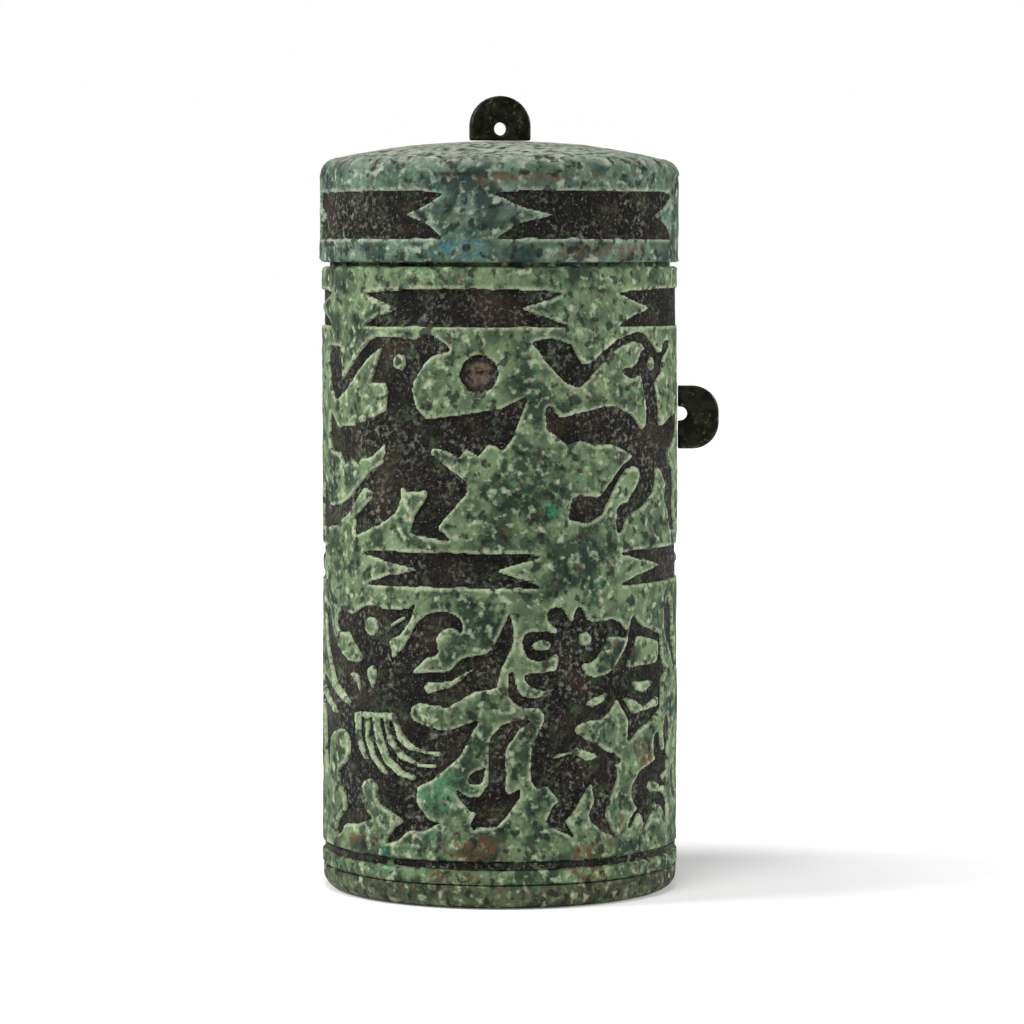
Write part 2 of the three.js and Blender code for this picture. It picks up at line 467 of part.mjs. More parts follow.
      [59, 33], [57.2, 31], [56.9, 28], [58, 25], [61, 23], [65, 21.5], [69, 21],
      [69, 22.5], [65, 23.5], [62, 25.5], [60.8, 28], [60.6, 31],
    ],
    islands: [],
  },
};

// Bronze bodies
const group = new THREE.Group();
group.name = 'lidded_box';
const innerRadius = BODY_RADIUS - WALL;
const lipRadius = innerRadius + LIP_THICKNESS;
const lipTop = SHOULDER_Z + LIP_HEIGHT;
const wallFoot = BASE_HEIGHT + FIT;
const grooveTop = GROOVE_Z + GROOVE_HEIGHT;
const grooveRadius = BODY_RADIUS - GROOVE_DEPTH;
let wallBody = turned([
  [innerRadius, wallFoot], [BODY_RADIUS, wallFoot], [BODY_RADIUS, GROOVE_Z],
  [grooveRadius, GROOVE_Z + 0.4], [grooveRadius, grooveTop - 0.4], [BODY_RADIUS, grooveTop],
  ...round(BODY_RADIUS - EDGE_RADIUS, SHOULDER_Z - EDGE_RADIUS, EDGE_RADIUS, 0, 90, 3),
  [lipRadius, SHOULDER_Z], [lipRadius, lipTop], [innerRadius, lipTop],
  [innerRadius, wallFoot],
]);

const ledgeZ = lipTop + SEAT;
const rimZ = SHOULDER_Z + LID_SEAM;
const rebateRadius = lipRadius + SEAT;
const lidInner = LID_RADIUS - LID_WALL;
const domeEdge = LID_RADIUS - LID_SHOULDER_RADIUS;
const domeZ = LID_SHOULDER_Z + LID_SHOULDER_RADIUS;
const domeRise = LID_TOP_Z - domeZ;
const dome = (edge, foot, rise) => Array.from({ length: 6 }, (_, i) => {
  const share = 1 - (i + 1) / 6;
  return [edge * share, foot + rise * (1 - share ** 2.2)];
});
let lidBody = turned([
  [rebateRadius, rimZ], [LID_RADIUS - EDGE_RADIUS, rimZ],
  ...round(LID_RADIUS - EDGE_RADIUS, rimZ + EDGE_RADIUS, EDGE_RADIUS, -60, 0, 2),
  ...round(domeEdge, LID_SHOULDER_Z, LID_SHOULDER_RADIUS, 0, 80, 5),
  ...dome(domeEdge, domeZ, domeRise),
  ...dome(lidInner - 2.5, domeZ - LID_ROOF, domeRise).reverse(),
  [lidInner - 2.5, domeZ - LID_ROOF], [lidInner, LID_SHOULDER_Z - 2.5],
  [lidInner, ledgeZ], [rebateRadius, ledgeZ], [rebateRadius, rimZ],
]);

// Paste inlays: the bars lie in cells cast for them, the figures over the wall
const inlays = [];
const moved = (points, by) => points.map((p) => new THREE.Vector2(p.x + by, p.y));

for (const [name, { start, shape }] of Object.entries(BARS)) {
  for (let n = 0; n < 4; n++) {
    const onLid = name.startsWith('lid');
    const floor = (onLid ? LID_RADIUS : BODY_RADIUS) - RECESS;
    const rim = moved(thin(shape), start + n * QUARTER);
    const cell = toManifold(wrapped(rim, [], floor, floor + 2 * RECESS));
    inlays.push([`${name}_${n + 1}`, wrapped(inset(rim, PASTE_FIT), [],
      floor + PASTE_FIT, floor + PASTE_FIT + PASTE)]);
    if (onLid) lidBody = lidBody.subtract(cell);
    else wallBody = wallBody.subtract(cell);
  }
}
for (const [name, { outline, islands }] of Object.entries(FIGURES)) {
  for (let n = 0; n < 2; n++) {
    const rim = moved(thin(outline), n * HALF);
    const holes = islands.map((island) => moved(thin(island).reverse(), n * HALF));
    const under = BODY_RADIUS + FIGURE_FIT;
    inlays.push([`${name}_${n + 1}`, wrapped(rim, holes, under, under + FIGURE_SKIN)]);
  }
}

add('vessel_wall', fromManifold(wallBody), bronze);
add('lid_shell', fromManifold(lidBody), bronze);
for (const [name, geometry] of inlays) add(name, geometry, paste);

const spigot = innerRadius - FIT;
add('base_plate', fromManifold(turned([
  [0, 0], ...round(BODY_RADIUS - BASE_EDGE, BASE_EDGE, BASE_EDGE, -90, 0, 5),
  [BODY_RADIUS, BASE_HEIGHT], [spigot, BASE_HEIGHT], [spigot, BASE_HEIGHT + SPIGOT_HEIGHT],
  [0, BASE_HEIGHT + SPIGOT_HEIGHT],
])), bronze);
add('foot_ring_inlay', fromManifold(turned([
  [grooveRadius + PASTE_FIT, GROOVE_Z + 0.7], [BODY_RADIUS - 0.3, GROOVE_Z + 0.5],
  [BODY_RADIUS - 0.3, grooveTop - 0.5], [grooveRadius + PASTE_FIT, grooveTop - 0.7],
  [grooveRadius + PASTE_FIT, GROOVE_Z + 0.7],
])), paste);

// Ears
function ear(shape) {
  const geometry = new THREE.ExtrudeGeometry(shape, {
    depth: EAR_THICKNESS - 2 * EAR_BEVEL, bevelThickness: EAR_BEVEL, bevelSize: EAR_BEVEL,
    bevelOffset: -EAR_BEVEL, bevelSegments: 2, curveSegments: 10,
  });
  geometry.translate(0, 0, EAR_BEVEL - EAR_THICKNESS / 2);
  geometry.rotateX(Math.PI / 2);
  return fromManifold(toManifold(weld(geometry)));
}

const earFoot = BODY_RADIUS + FIT;
const earCorner = SIDE_EAR_HEIGHT * 0.42;
const sideEar = new THREE.Shape();
sideEar.moveTo(earFoot, SIDE_EAR_Z);
sideEar.lineTo(earFoot + SIDE_EAR_REACH - earCorner, SIDE_EAR_Z);
sideEar.absarc(earFoot + SIDE_EAR_REACH - earCorner, SIDE_EAR_Z + earCorner, earCorner,
  -Math.PI / 2, 0, false);
sideEar.absarc(earFoot + SIDE_EAR_REACH - earCorner,
  SIDE_EAR_Z + SIDE_EAR_HEIGHT - earCorner, earCorner, 0, Math.PI / 2, false);
sideEar.lineTo(earFoot, SIDE_EAR_Z + SIDE_EAR_HEIGHT);
sideEar.lineTo(earFoot, SIDE_EAR_HOLE_Z + SIDE_EAR_HOLE);
sideEar.absarc(earFoot + 0.6, SIDE_EAR_HOLE_Z, SIDE_EAR_HOLE, Math.PI / 2, -Math.PI / 2, true);
sideEar.lineTo(earFoot, SIDE_EAR_HOLE_Z - SIDE_EAR_HOLE);
add('body_lug', ear(sideEar), darkBronze);

const topEarFoot = LID_TOP_Z + FIT;
const half = TOP_EAR_WIDTH / 2;
const topEar = new THREE.Shape();
topEar.moveTo(-half, topEarFoot);
topEar.lineTo(half, topEarFoot);
topEar.absarc(0, topEarFoot + TOP_EAR_HEIGHT - half, half, 0, Math.PI, false);
const topHole = new THREE.Path();
topHole.absarc(0, topEarFoot + TOP_EAR_HOLE_RISE, TOP_EAR_HOLE, 0, 2 * Math.PI, true);
topEar.holes.push(topHole);
const topGeometry = ear(topEar);
topGeometry.rotateZ(TOP_EAR_TURN);
add('lid_lug', topGeometry, darkBronze);

export default group;
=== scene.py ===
# Cylindrical lidded box of cast bronze with friezes of dark paste, dressed for rendering.
# Sizes are in millimetres; "along" runs round the wall from the front towards +X.
import math

import bpy
import numpy as np
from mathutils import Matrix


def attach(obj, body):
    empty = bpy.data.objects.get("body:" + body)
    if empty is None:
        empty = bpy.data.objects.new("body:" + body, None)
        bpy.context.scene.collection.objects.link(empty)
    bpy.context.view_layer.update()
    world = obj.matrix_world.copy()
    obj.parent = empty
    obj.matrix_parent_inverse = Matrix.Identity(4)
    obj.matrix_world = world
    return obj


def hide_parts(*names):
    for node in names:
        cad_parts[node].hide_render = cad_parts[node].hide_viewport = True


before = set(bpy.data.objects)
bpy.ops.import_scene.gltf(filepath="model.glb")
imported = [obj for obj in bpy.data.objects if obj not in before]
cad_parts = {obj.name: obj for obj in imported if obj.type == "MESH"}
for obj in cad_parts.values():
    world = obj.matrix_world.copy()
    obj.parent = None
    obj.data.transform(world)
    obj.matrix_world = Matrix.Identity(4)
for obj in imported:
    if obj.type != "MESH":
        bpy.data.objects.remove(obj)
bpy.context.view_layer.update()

# Body wall: a bronze tube cast in piece moulds, with sunk cells for the paste, a groove
# above the foot, and an inner lip for the lid. Its outer face is a fine grid of rows up the
# wall and columns round it, moved in and out for the cells, the casting's swell and crusts.
MM = 0.001
RADIUS = 44.25
AROUND = 696
CELL = 2 * math.pi * RADIUS / AROUND
FOOT = 6.0
TOP = 154.0
CELL_DEPTH = 1.05
SWELL = ((34, 0.12), (7, 0.05), (1.8, 0.04))  # width in grid cells, depth
PIT_WIDTH = 2.6
PIT_DEPTH = 0.25
CRUST_HEIGHT = 0.12
GROOVE_FOOT = (9.3, 9.7)
GROOVE_TOP = (11.6, 12.0)
GROOVE_DEPTH = 0.95
SEAM_ROUND = 0.8
SEAM_DEPTH = 0.5
EDGE_ROUND = [(44.19, 154.35), (43.96, 154.7), (43.6, 154.93), (43.2, 155)]
LIP_RADIUS = 42.35
LIP_TOP = 162
INSIDE_RADIUS = 40.85
random = np.random.default_rng(7)


def blurred(field, sigma):
    """A field smoothed by sigma cells, joined up round the wall and mirrored up it."""
    tall = np.vstack([field, field[::-1]])
    fz = np.fft.fftfreq(tall.shape[0])[:, None]
    fu = np.fft.fftfreq(tall.shape[1])[None, :]
    soft = np.fft.ifft2(np.fft.fft2(tall) * np.exp(-2 * (math.pi * sigma) ** 2
                                                   * (fz ** 2 + fu ** 2))).real
    return soft[:field.shape[0]]


def lumps(rows, sigma, columns=AROUND):
    """Even random lumps of about sigma cells, with unit spread."""
    field = blurred(random.standard_normal((rows, columns)), sigma)
    return field / field.std()


def step(x, low, high):
    """A soft step from 0 at low to 1 at high."""
    t = np.clip((x - low) / (high - low), 0, 1)
    return t * t * (3 - 2 * t)


def stamped(names, low, rows):
    """Which inlay covers each spot of the wall, at half the grid's cell size: 0 is none."""
    outward = 0.5
    slack = -0.01
    tall, wide = rows * 2, AROUND * 2
    marks = np.zeros((tall, wide), np.int16)
    for number, name in enumerate(names, 1):
        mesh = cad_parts[name].data
        mesh.calc_loop_triangles()
        xyz = np.array([v.co for v in mesh.vertices])
        for triangle in mesh.loop_triangles:
            corner = xyz[list(triangle.vertices)]
            way = corner.mean(0) * (1, 1, 0)
            if np.dot(way, triangle.normal) < outward * np.linalg.norm(way):
                continue
            turn = np.arctan2(corner[:, 0], -corner[:, 1])
            turn = turn[0] + (turn - turn[0] + math.pi) % (2 * math.pi) - math.pi
            u = turn / (2 * math.pi) * wide
            z = (corner[:, 2] / MM - low) / (CELL / 2)
            us = np.arange(math.floor(u.min()), math.ceil(u.max()) + 1)
            zs = np.arange(max(0, math.floor(z.min())), min(tall - 1, math.ceil(z.max())) + 1)
            gu, gz = np.meshgrid(us, zs)
            inside = np.ones(gu.shape, bool)
            area = (u[1] - u[0]) * (z[2] - z[0]) - (u[2] - u[0]) * (z[1] - z[0])
            for a, b in ((0, 1), (1, 2), (2, 0)):
                side = (u[b] - u[a]) * (gz - z[a]) - (z[b] - z[a]) * (gu - u[a])
                inside &= side * np.sign(area) >= slack
            marks[gz[inside], gu[inside] % wide] = number
    return marks


def carved(names, low, rows):
    """How deep each grid cell is cut, a painted highlight along the rims of the cuts, and the
    cover of each inlay.
    """
    marks = stamped(names, low, rows)
    whole = (marks > 0).astype(float)
    wobble = lumps(rows * 2, 4, AROUND * 2) * 0.1 + lumps(rows * 2, 10, AROUND * 2) * 0.05
    near = blurred(whole, 3)
    ragged = blurred(whole, 1.5) + wobble * near * (1 - near) * 4
    depth = step(ragged, 0.32, 0.68)
    # rim: a painted highlight, pale green just outside the edge of each cell
    rim = step(blurred(whole, 4), 0.05, 0.35) * (1 - depth)
    cover = {}
    for number, name in enumerate(names, 1):
        cover[name] = blurred((marks == number).astype(float), 2.5)[::2, ::2] > 0.06
    return depth[::2, ::2], rim[::2, ::2], cover


def patches(spots, rows, low, radius):
    """Soft, ragged patches at [along, height, half width, half height]."""
    ragged = lumps(rows, 4) * 0.35 + lumps(rows, 12) * 0.35
    turn = 2 * math.pi * radius
    u = (np.arange(AROUND) / AROUND * turn)[None, :]
    z = (low + np.arange(rows) * CELL)[:, None]
    field = np.zeros((rows, AROUND))
    for along, height, half_width, half_height in spots:
        off = (u - along + turn / 2) % turn - turn / 2
        far = np.sqrt((off / half_width) ** 2 + ((z - height) / half_height) ** 2) + ragged
        field = np.maximum(field, 1 - step(far, 0.6, 1.2))
    return field


def new_object(name, points, faces, values):
    """A smooth mesh object with a value of each name at each point."""
    mesh = bpy.data.meshes.new(name)
    mesh.from_pydata(points.tolist(), [], faces.tolist())
    for key, value in values.items():
        mesh.attributes.new(key, "FLOAT", "POINT").data.foreach_set("value", value.ravel())
    mesh.shade_smooth()
    made = bpy.data.objects.new(name, mesh)
    bpy.context.collection.objects.link(made)
    return made


def ring_faces(rows):
    """Quads between neighbouring rows of a turned grid, whose last row meets its first."""
    i, j = np.meshgrid(np.arange(rows), np.arange(AROUND), indexing="ij")
    up, on = (i + 1) % rows, (j + 1) % AROUND
    return np.stack([i * AROUND + j, i * AROUND + on, up * AROUND + on, up * AROUND + j],
                    -1).reshape(-1, 4)


def turned(r, z):
    """Grid points from a radius for each cell, or for each row, and a height likewise."""
    turn = np.arange(AROUND) / AROUND * 2 * math.pi
    r = np.broadcast_to(r if r.ndim == 2 else r[:, None], (len(z), AROUND))
    z = np.broadcast_to(z if z.ndim == 2 else z[:, None], r.shape)
    return np.stack([r * np.sin(turn), -r * np.cos(turn), z], -1).reshape(-1, 3) * MM


def linear(code):
    """An sRGB hex colour as the linear RGBA that a socket takes."""
    parts = [int(code[i:i + 2], 16) / 255 for i in (1, 3, 5)]
    return [c / 12.92 if c <= 0.04045 else ((c + 0.055) / 1.055) ** 2.4 for c in parts] + [1]


def add(tree, kind, inputs=None, **settings):
    """A new node with its settings, its inputs set to values or joined to sockets."""
    made = tree.nodes.new(kind)
    for key, value in settings.items():
        setattr(made, key, value)
    for key, value in (inputs or {}).items():
        if isinstance(value, bpy.types.NodeSocket):
            tree.links.new(value, made.inputs[key])
        else:
            made.inputs[key].default_value = value
    return made


def grain(tree, size_mm, low, high, detail=4, shift=0):
    """Mottling about size_mm across, as a share that rises from low to high in the noise."""
    place = add(tree, "ShaderNodeTexCoord").outputs["Object"]
    place = add(tree, "ShaderNodeVectorMath", {0: place, 1: (shift, shift, shift)}).outputs[0]
    noise = add(tree, "ShaderNodeTexNoise",
                {"Vector": place, "Scale": 1 / (size_mm * MM), "Detail": detail})
    return add(tree, "ShaderNodeMapRange",
               {"Value": noise.outputs["Fac"], "From Min": low, "From Max": high}).outputs[0]


def coat(tree, under, colour, strength, *shares):
    """A colour laid over what is under it, as strongly as all the shares let it."""
    share = strength
    for other in shares:
        share = add(tree, "ShaderNodeMath", {0: other, 1: share}, operation="MULTIPLY",
                    use_clamp=True).outputs[0]
    return add(tree, "ShaderNodeMix", {0: share, 6: under, 7: linear(colour)},
               data_type="RGBA").outputs[2]


def crusted(tree, patch, ragged, strewn):
    """Where a crust grows: a marked patch with ragged edges, and spots strewn elsewhere."""
    mark = add(tree, "ShaderNodeAttribute", attribute_name=patch).outputs["Fac"]
    grown = add(tree, "ShaderNodeMath", {0: mark, 1: ragged}, operation="MULTIPLY",
                use_clamp=True).outputs[0]
    return add(tree, "ShaderNodeMath", {0: strewn, 1: grown}, operation="ADD",
               use_clamp=True).outputs[0]


# Patina on tin bronze that lay in soil: matt carbonate crusts a few tenths of a millimetre
# to a few millimetres across, sage and olive with dark green between them, pale grains,
# malachite or blue specks, brown iron stains and black pits.
def patina(name, sage, olive, deep, pale, speck, brown):
    made = bpy.data.materials.new(name)
    made.use_nodes = True
    tree = made.node_tree
    deep_mark = add(tree, "ShaderNodeAttribute", attribute_name="deep").outputs["Fac"]
    painted_rim_highlight = add(tree, "ShaderNodeAttribute", attribute_name="rim").outputs["Fac"]
    chalk_mark = add(tree, "ShaderNodeAttribute", attribute_name="chalk").outputs["Fac"]
    colour = coat(tree, linear(sage), olive, 1, grain(tree, 7, 0.4, 0.56, 6))
    colour = coat(tree, colour, sage, 1, grain(tree, 2.2, 0.45, 0.62, shift=0.3))
    broad = grain(tree, 22, 0.42, 0.58, 3, shift=5.1)
    broad = add(tree, "ShaderNodeMath", {0: broad, 1: 0.45}, operation="ADD",
                use_clamp=True).outputs[0]
    colour = coat(tree, colour, deep, 0.85, broad, grain(tree, 6, 0.45, 0.57, 10, shift=0.9))
    colour = coat(tree, colour, deep, 0.85, deep_mark, grain(tree, 1.8, 0.36, 0.52, 8))
    colour = coat(tree, colour, pale, 0.8, grain(tree, 2.4, 0.55, 0.68, 9, shift=1.7))
    specks = crusted(tree, "bright", grain(tree, 1.3, 0.42, 0.6, 8),
                     grain(tree, 1.5, 0.63, 0.7, shift=2.9))
    colour = coat(tree, colour, speck, 0.75, specks)
    stains = crusted(tree, "brown", grain(tree, 1.6, 0.4, 0.58, 8),
                     grain(tree, 2.6, 0.64, 0.72, shift=4.1))
    colour = coat(tree, colour, brown, 0.8, stains)
    # Painted highlight: the pale colour laid along the rims of the cells
    colour = coat(tree, colour, pale, 0.75, painted_rim_highlight, grain(tree, 1.1, 0.3, 0.55))
    colour = coat(tree, colour, "#b4b6a8", 0.8, chalk_mark, grain(tree, 2, 0.34, 0.6))
    colour = coat(tree, colour, "#0a0d08", 0.85, grain(tree, 2.6, 0.55, 0.63, 10, shift=6.3))
    shader = tree.nodes["Principled BSDF"]
    tree.links.new(colour, shader.inputs["Base Color"])
    shader.inputs["Roughness"].default_value = 0.72
    shader.inputs["Specular IOR Level"].default_value = 0.3
    bump = add(tree, "ShaderNodeBump", {"Height": grain(tree, 0.9, 0.25, 0.75, 6),
                                        "Strength": 0.9, "Distance": 0.4 * MM})
    tree.links.new(bump.outputs["Normal"], shader.inputs["Normal"])
    return made


body_patina = patina("patinated_bronze", sage="#6f8560", olive="#46593c", deep="#0c2417",
                     pale="#b3c09c", speck="#2c8058", brown="#5e3f26")

# The wall's relief and the places of its larger patches, read along the front
inlays = [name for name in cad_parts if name.endswith(("_1", "_2", "_3", "_4"))]
body_inlays = [name for name in inlays if not name.startswith("lid")]
rows = int((TOP - FOOT) / CELL) + 1
heights = FOOT + np.arange(rows) * CELL
depth, rim, cover = carved(body_inlays, FOOT, rows)
deep = patches([(5, 102, 11, 10), (20, 83, 7, 4), (-8, 66, 7, 5), (8, 40, 6, 8),
                (144, 100, 14, 12), (-90, 60, 12, 10)], rows, FOOT, RADIUS)
bright = patches([(17, 96, 5, 4), (25, 78, 3, 3), (-15, 28, 6, 5), (-30, 16, 3, 3),
                  (30, 22, 3, 3), (52, 17, 4, 3), (150, 70, 6, 5)], rows, FOOT, RADIUS)
brown = patches([(-15, 7, 12, 3), (21, 12, 6, 4), (44, 62, 3, 2.2), (41, 36.5, 3, 2.5),
                 (32, 22, 2, 2.5), (-44, 15, 7, 2), (46, 69, 2, 1), (-4, 14, 9, 4),
                 (120, 14, 16, 4)], rows, FOOT, RADIUS)
swell = sum(lumps(rows, width) * height for width, height in SWELL)
pits = np.maximum(0, -lumps(rows, PIT_WIDTH) - 2.1) * PIT_DEPTH
crust = np.maximum(brown, bright) * (CRUST_HEIGHT + 0.08 * np.abs(lumps(rows, 3)))
swell = swell + crust - pits
groove = step(heights, *GROOVE_FOOT) * (1 - step(heights, *GROOVE_TOP))
seam = np.clip(1 - (heights - FOOT) / SEAM_ROUND, 0, 1) ** 2
outer = RADIUS + swell * (1 - depth * 0.6) - depth * CELL_DEPTH
outer = outer - GROOVE_DEPTH * groove[:, None] - SEAM_DEPTH * seam[:, None]
cap_r, cap_z = np.array([*EDGE_ROUND, (LIP_RADIUS, EDGE_ROUND[-1][1]), (LIP_RADIUS, LIP_TOP),
                         (INSIDE_RADIUS, LIP_TOP), (INSIDE_RADIUS, FOOT)]).T
points = np.vstack([turned(outer, heights), turned(cap_r, cap_z)])
total = rows + len(cap_z)
plain = np.zeros((len(cap_z), AROUND))
wall = new_object("bronze_wall", points, ring_faces(total), {
    "deep": np.vstack([deep, plain]), "bright": np.vstack([bright, plain]),
    "brown": np.vstack([brown, plain]), "rim": np.vstack([rim, plain]),
    "chalk": np.zeros((total, AROUND))})
wall.data.materials.append(body_patina)
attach(wall, "vessel")
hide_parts("vessel_wall")

# Paste of the body: a mineral filling pressed into the cells as bars and figures and into
# the groove as a ring, then dried. It is near black and gritty, with a grey dust of fine
# grains, green crust that grew over it here and there, and a brown bloom on the discs.
PASTE_FRONT = -0.58
PASTE_BACK = -0.92
GRIT = ((1.6, 0.03), (8, 0.05))  # width in grid cells, depth
paste_material = bpy.data.materials.new("dried_paste")
paste_material.use_nodes = True
tree = paste_material.node_tree
bloom_mark = add(tree, "ShaderNodeAttribute", attribute_name="bloom").outputs["Fac"]
colour = coat(tree, linear("#050505"), "#1f1c19", 1, grain(tree, 0.8, 0.4, 0.68))
colour = coat(tree, colour, "#4a3c30", 0.35, grain(tree, 9, 0.5, 0.68, shift=2))
colour = coat(tree, colour, "#7d776c", 1, grain(tree, 0.6, 0.64, 0.74, 2, shift=5))
colour = coat(tree, colour, "#3f4c37", 0.7, grain(tree, 5, 0.52, 0.64, 8, shift=7),
              grain(tree, 1.2, 0.42, 0.56, 6, shift=8))
colour = coat(tree, colour, "#85857a", 0.7, grain(tree, 11, 0.4, 0.62, 3, shift=9),
              grain(tree, 1.2, 0.52, 0.66, 9, shift=10))
colour = coat(tree, colour, "#6e5f50", 1, bloom_mark, grain(tree, 1.5, 0.38, 0.6, 6))
shader = tree.nodes["Principled BSDF"]
tree.links.new(colour, shader.inputs["Base Color"])
shader.inputs["Roughness"].default_value = 0.42
shader.inputs["Specular IOR Level"].default_value = 0.1
bump = add(tree, "ShaderNodeBump", {"Height": grain(tree, 0.7, 0.25, 0.75, 6),
                                    "Strength": 1, "Distance": 0.5 * MM})
tree.links.new(bump.outputs["Normal"], shader.inputs["Normal"])


def paste_piece(name, covered, radius, low, grit, body):
    """A closed thin plate over the covered cells, which dives under the cell's edges."""
    on = covered & np.roll(covered, -1, 1)
    on[:-1] &= covered[1:]
    on[-1] = False
    i, j = np.nonzero(on)
    corners = np.stack([i * AROUND + j, i * AROUND + (j + 1) % AROUND,
                        (i + 1) * AROUND + (j + 1) % AROUND, (i + 1) * AROUND + j], -1)
    used, index = np.unique(corners, return_inverse=True)
    index = index.reshape(-1, 4)
    row, column = used // AROUND, used % AROUND
    turn = column / AROUND * 2 * math.pi
    z = low + row * CELL

    def shell(r):
        return np.stack([r * np.sin(turn), -r * np.cos(turn), z], -1) * MM

    count = len(used)
    front = radius + PASTE_FRONT + grit[row, column]
    points = np.vstack([shell(front), shell(radius + PASTE_BACK + 0 * z)])
    way = zip(index.ravel().tolist(), np.roll(index, -1, 1).ravel().tolist())
    there = {*way}
    rim = np.array(sorted((p, q) for p, q in there if (q, p) not in there))
    sides = np.stack([rim[:, 1], rim[:, 0], rim[:, 0] + count, rim[:, 1] + count], -1)
    faces = np.vstack([index, index[:, ::-1] + count, sides])
    bloom = np.zeros(2 * count)
    if name.startswith("disc"):
        far = np.linalg.norm(points - points[:count].mean(0), axis=1)
        bloom = 1 - step(far / far.max(), 0.45, 0.75)
    piece = new_object("paste_" + name, points, faces, {"bloom": bloom})
    piece.data.materials.append(paste_material)
    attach(piece, body)
    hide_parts(name)


grit = sum(lumps(rows, width) * height for width, height in GRIT)
for name in body_inlays:
    paste_piece(name, cover[name], RADIUS, FOOT, grit, "vessel")
foot_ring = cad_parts["foot_ring_inlay"]
foot_ring.data.materials.clear()
foot_ring.data.materials.append(paste_material)

# Lid: one bronze casting that slides over the body's lip, with the same cells on its wall,
# a soft shoulder and a low dome. Its patina is bluer and its crust coarser, and a whitish
# deposit has settled on the dome.
LID_OVERHANG = 0.45
LID_RADIUS = RADIUS + LID_OVERHANG
LID_LOW = 157.0
LID_HIGH = 177.5
SHOULDER = 4.2
SHOULDER_TURN = math.radians(84)
DOME_RISE = 4.3
DOME_STEPS = 60
DOME_CENTRE = 0.004
LID_SWELL = ((30, 0.14), (5, 0.06), (2, 0.035))  # width in grid cells, depth
CHALK_FROM = 178.5
CHALK_FULL = 182.5
UNDER_ROOF = [(0.2, 182.6), (20, 181.7), (33, 180.2), (38.7, 178.3), (41.2, 175)]
LEDGE = [(41.2, 162.3), (42.65, 162.3)]
RIM = [(42.65, 156), (43.6, 156), (44.3, 156.15), (44.6, 156.5)]
lid_patina = patina("patinated_bronze_lid", sage="#5f7866", olive="#465b4a", deep="#0e2824",
                    pale="#a5b39a", speck="#1f6670", brown="#5e4429")

lid_inlays = [name for name in inlays if name.startswith("lid")]
lid_rows = int((LID_HIGH - LID_LOW) / CELL) + 1
lid_heights = LID_LOW + np.arange(lid_rows) * CELL
depth, rim, cover = carved(lid_inlays, LID_LOW, lid_rows)
angle = np.linspace(0, SHOULDER_TURN, 16)[1:]
dome_share = np.linspace(1, DOME_CENTRE, DOME_STEPS)[1:] ** 0.8
dome_edge = LID_RADIUS - SHOULDER
crown_r = np.concatenate([dome_edge + SHOULDER * np.cos(angle), dome_edge * dome_share])
crown_z = np.concatenate([LID_HIGH + SHOULDER * np.sin(angle),
                          LID_HIGH + SHOULDER + DOME_RISE * (1 - dome_share ** 2.2)])
crown = len(crown_r)
rough = sum(lumps(lid_rows + crown, width) * height for width, height in LID_SWELL)
flatter = np.clip(crown_r / 30, 0, 1)[:, None]
outer = LID_RADIUS + rough[:lid_rows] * (1 - depth * 0.6) - depth * CELL_DEPTH
top_z = crown_z[:, None] + rough[lid_rows:] * flatter
under_r, under_z = np.array(UNDER_ROOF + LEDGE + RIM).T
points = np.vstack([turned(outer, lid_heights), turned(crown_r, top_z),
                    turned(under_r, under_z)])
total = lid_rows + crown + len(under_r)


def on_lid(field):
    """A field of the lid's wall, with nothing on the crown and underneath."""
    return np.vstack([field, np.zeros((total - lid_rows, AROUND))])


lid_deep = patches([(48, 166, 4, 4), (-20, 172, 10, 5), (140, 168, 20, 6)], lid_rows, LID_LOW,
                   LID_RADIUS)
lid_bright = patches([(50, 167, 4, 3), (-8, 160, 5, 2)], lid_rows, LID_LOW, LID_RADIUS)
lid_brown = patches([(30, 158.5, 12, 1.5), (-40, 159, 10, 2), (5, 176, 14, 2)], lid_rows,
                    LID_LOW, LID_RADIUS)
chalk = np.zeros((total, AROUND))
chalk[lid_rows:lid_rows + crown] = step(crown_z, CHALK_FROM, CHALK_FULL)[:, None]
lid = new_object("bronze_lid", points, ring_faces(total), {
    "deep": on_lid(lid_deep), "bright": on_lid(lid_bright), "brown": on_lid(lid_brown),
    "rim": on_lid(rim), "chalk": chalk})
lid.data.materials.append(lid_patina)
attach(lid, "lid")
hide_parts("lid_shell")
grit = sum(lumps(lid_rows, width) * height for width, height in GRIT)
for name in lid_inlays:
    paste_piece(name, cover[name], LID_RADIUS, LID_LOW, grit, "lid")

# Bottom: a bronze disc cast on to the wall, with a broad rounded edge down to the flat
# underside, and a low step inside that centres it. The hairline above it is its seam.
BOTTOM_EDGE = 3.8
BOTTOM_EDGE_CENTRE = 40.45
BOTTOM_EDGE_STEPS = 14
UNDERSIDE = [(0.2, 0), (20, 0), (34, 0)]
BOTTOM_TOP = [(44.25, 5.4), (44.2, 5.75), (40.65, 5.75), (40.65, 6.8), (0.2, 6.8)]
angle = np.linspace(-math.pi / 2, 0, BOTTOM_EDGE_STEPS)
rounded = np.stack([BOTTOM_EDGE_CENTRE + BOTTOM_EDGE * np.cos(angle),
                    BOTTOM_EDGE + BOTTOM_EDGE * np.sin(angle)], -1)
base_r, base_z = np.vstack([UNDERSIDE, rounded, BOTTOM_TOP]).T
uneven = np.broadcast_to(base_r[:, None], (len(base_r), AROUND)).copy()
first = len(UNDERSIDE) + 2
last = len(UNDERSIDE) + BOTTOM_EDGE_STEPS + 1
uneven[first:last] += lumps(last - first, 6) * 0.05
# The deep share darkens the whole bottom: partly dark crust, partly painted shade of its
# downward-facing edge. The brown share is brown crust.
bottom = new_object("bronze_bottom", turned(uneven, base_z), ring_faces(len(base_r)), {
    key: np.full((len(base_r), AROUND), share) for key, share in
    (("deep", 0.6), ("bright", 0), ("brown", 0.45), ("rim", 0), ("chalk", 0))})
bottom.data.materials.append(body_patina)
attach(bottom, "vessel")
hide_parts("base_plate")

